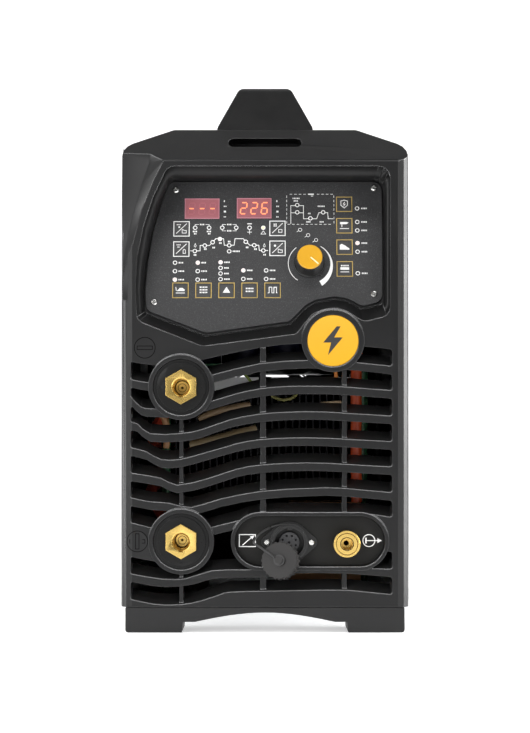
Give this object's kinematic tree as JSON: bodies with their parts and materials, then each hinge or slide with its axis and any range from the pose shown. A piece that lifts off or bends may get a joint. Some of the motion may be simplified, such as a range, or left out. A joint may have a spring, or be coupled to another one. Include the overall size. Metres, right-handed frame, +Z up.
{
  "type": "tig welding machine",
  "caption": "Upright inverter TIG welding machine: louvred moulded front, sunken control panel with knob and keys, bayonet weld sockets, remote socket and carry handle.",
  "frame": {"origin": "on the floor, in the middle of the overall width and length", "axes": "+X to the right seen from the front, +Y from the front face to the back, +Z up"},
  "size_m": [0.2542, 0.564, 0.486],
  "materials": {
    "bezel_plastic": "satin moulded ABS, charcoal grey",
    "cover_paint": "black textured powder coat",
    "plated_steel": "zinc-plated sheet steel",
    "foot_plastic": "moulded ABS, dark grey",
    "handle_plastic": "fine-textured black plastic",
    "screw_steel": "zinc-plated",
    "panel_film": "speckled dark grey printed film on plastic plate",
    "display_window": "tinted transparent red plastic",
    "board": "green solder-masked circuit board",
    "led_lens": "clear lens",
    "yellow_gloss": "glossy warm yellow",
    "insulator": "black phenolic moulding",
    "brass": "turned brass",
    "plate_black": "black satin paint with white marks",
    "socket_black": "black anodised shell",
    "insert_grey": "dark grey moulded insert",
    "extruded_aluminium": "extruded, plain",
    "varnished_windings": "varnished windings in brown tape on ferrite",
    "copper_winding": "enamelled winding",
    "capacitor_sleeve": "shrink-sleeved cans",
    "valve_brass": "cast brass body with moulded coil",
    "hose_rubber": "black rubber hose",
    "lead_insulation": "red-orange silicone insulation",
    "fan_black": "black moulded",
    "guard_wire": "chromed wire",
    "switch_black": "black moulded",
    "gland_nylon": "black nylon",
    "switch_red": "red moulded",
    "tether_rubber": "black flexible strap",
    "cap_grey": "brownish grey plastic",
    "knob_black": "black moulded",
    "key_cap": "dark grey key cap with printed outline"
  },
  "bodies": {
    "machine": {"front_bezel": "bezel_plastic", "rear_bezel": "bezel_plastic", "case_cover": "cover_paint", "base_plate": "plated_steel", "front_foot": "foot_plastic", "rear_foot": "foot_plastic", "handle": "handle_plastic", "case_screws": "screw_steel", "control_panel": "panel_film", "panel_screws": "screw_steel", "display_windows": "display_window", "control_board": "board", "indicator_leds": "led_lens", "encoder_body": "plated_steel", "badge": "yellow_gloss", "negative_socket_body": "insulator", "negative_socket_contact": "brass", "positive_socket_body": "insulator", "positive_socket_contact": "brass", "connector_plate": "plate_black", "remote_socket": "socket_black", "remote_socket_insert": "insert_grey", "remote_socket_screws": "screw_steel", "gas_outlet": "brass", "inverter_board": "board", "heatsink_left": "extruded_aluminium", "heatsink_right": "extruded_aluminium", "main_transformer": "varnished_windings", "output_choke": "copper_winding", "capacitor_bank": "capacitor_sleeve", "gas_valve": "valve_brass", "gas_hoses": "hose_rubber", "power_leads": "lead_insulation", "fan_frame": "fan_black", "fan_guard": "guard_wire", "mains_switch_body": "switch_black", "cable_gland": "gland_nylon", "gas_inlet": "brass"},
    "gas_valve_plunger": {"gas_valve_plunger": "plated_steel"},
    "fan_rotor": {"fan_rotor": "fan_black"},
    "mains_switch_handle": {"mains_switch_handle": "switch_red"},
    "cap_tether": {"cap_tether": "tether_rubber"},
    "dust_cap": {"dust_cap": "cap_grey"},
    "encoder_plunger": {"encoder_plunger": "plated_steel"},
    "control_knob": {"encoder_shaft": "plated_steel", "knob": "knob_black", "knob_cap": "yellow_gloss"},
    "key_program": {"key_program": "key_cap"},
    "key_waveform": {"key_waveform": "key_cap"},
    "key_trigger_mode": {"key_trigger_mode": "key_cap"},
    "key_ignition": {"key_ignition": "key_cap"},
    "key_pulse": {"key_pulse": "key_cap"},
    "key_voltage_guard": {"key_voltage_guard": "key_cap"},
    "key_electrode": {"key_electrode": "key_cap"},
    "key_pedal": {"key_pedal": "key_cap"},
    "key_cooler": {"key_cooler": "key_cap"},
    "key_store": {"key_store": "key_cap"},
    "key_gas_test": {"key_gas_test": "key_cap"},
    "key_parameter": {"key_parameter": "key_cap"},
    "key_memory": {"key_memory": "key_cap"}
  },
  "joints": [
    {"name": "key_program_press", "type": "slide", "parent": "machine", "child": "key_program", "axis": [0, 0.9703, -0.2419], "range_m": [0, 0.0008], "stiffness_N_per_m": 2000},
    {"name": "key_waveform_press", "type": "slide", "parent": "machine", "child": "key_waveform", "axis": [0, 0.9703, -0.2419], "range_m": [0, 0.0008], "stiffness_N_per_m": 2000},
    {"name": "key_trigger_mode_press", "type": "slide", "parent": "machine", "child": "key_trigger_mode", "axis": [0, 0.9703, -0.2419], "range_m": [0, 0.0008], "stiffness_N_per_m": 2000},
    {"name": "key_ignition_press", "type": "slide", "parent": "machine", "child": "key_ignition", "axis": [0, 0.9703, -0.2419], "range_m": [0, 0.0008], "stiffness_N_per_m": 2000},
    {"name": "key_pulse_press", "type": "slide", "parent": "machine", "child": "key_pulse", "axis": [0, 0.9703, -0.2419], "range_m": [0, 0.0008], "stiffness_N_per_m": 2000},
    {"name": "key_voltage_guard_press", "type": "slide", "parent": "machine", "child": "key_voltage_guard", "axis": [0, 0.9703, -0.2419], "range_m": [0, 0.0008], "stiffness_N_per_m": 2000},
    {"name": "key_electrode_press", "type": "slide", "parent": "machine", "child": "key_electrode", "axis": [0, 0.9703, -0.2419], "range_m": [0, 0.0008], "stiffness_N_per_m": 2000},
    {"name": "key_pedal_press", "type": "slide", "parent": "machine", "child": "key_pedal", "axis": [0, 0.9703, -0.2419], "range_m": [0, 0.0008], "stiffness_N_per_m": 2000},
    {"name": "key_cooler_press", "type": "slide", "parent": "machine", "child": "key_cooler", "axis": [0, 0.9703, -0.2419], "range_m": [0, 0.0008], "stiffness_N_per_m": 2000},
    {"name": "key_store_press", "type": "slide", "parent": "machine", "child": "key_store", "axis": [0, 0.9703, -0.2419], "range_m": [0, 0.0008], "stiffness_N_per_m": 2000},
    {"name": "key_gas_test_press", "type": "slide", "parent": "machine", "child": "key_gas_test", "axis": [0, 0.9703, -0.2419], "range_m": [0, 0.0008], "stiffness_N_per_m": 2000},
    {"name": "key_parameter_press", "type": "slide", "parent": "machine", "child": "key_parameter", "axis": [0, 0.9703, -0.2419], "range_m": [0, 0.0008], "stiffness_N_per_m": 2000},
    {"name": "key_memory_press", "type": "slide", "parent": "machine", "child": "key_memory", "axis": [0, 0.9703, -0.2419], "range_m": [0, 0.0008], "stiffness_N_per_m": 2000},
    {"name": "encoder_push", "type": "slide", "parent": "machine", "child": "encoder_plunger", "axis": [0, 0.9703, -0.2419], "range_m": [0, 0.0006], "stiffness_N_per_m": 3000},
    {"name": "knob_spin", "type": "hinge", "parent": "encoder_plunger", "child": "control_knob", "pos_m": [0.039, -0.24229, 0.32423], "axis": [0, -0.9703, 0.2419], "continuous": true},
    {"name": "fan_spin", "type": "hinge", "parent": "machine", "child": "fan_rotor", "pos_m": [0, 0.2425, 0.19], "axis": [0, 1, 0], "continuous": true},
    {"name": "mains_switch_turn", "type": "hinge", "parent": "machine", "child": "mains_switch_handle", "pos_m": [-0.07, 0.262, 0.345], "axis": [0, 1, 0], "range_deg": [0, 90]},
    {"name": "tether_swing", "type": "hinge", "parent": "machine", "child": "cap_tether", "pos_m": [0.021, -0.2573, 0.078], "axis": [0, -1, 0], "range_deg": [-40, 48]},
    {"name": "dust_cap_spin", "type": "hinge", "parent": "cap_tether", "child": "dust_cap", "pos_m": [0.0142, -0.2686, 0.0623], "axis": [-0.2059, -0.9686, 0.1392], "continuous": true},
    {"name": "gas_valve_lift", "type": "slide", "parent": "machine", "child": "gas_valve_plunger", "axis": [0, 0, 1], "range_m": [0, 0.0015], "stiffness_N_per_m": 400}
  ]
}
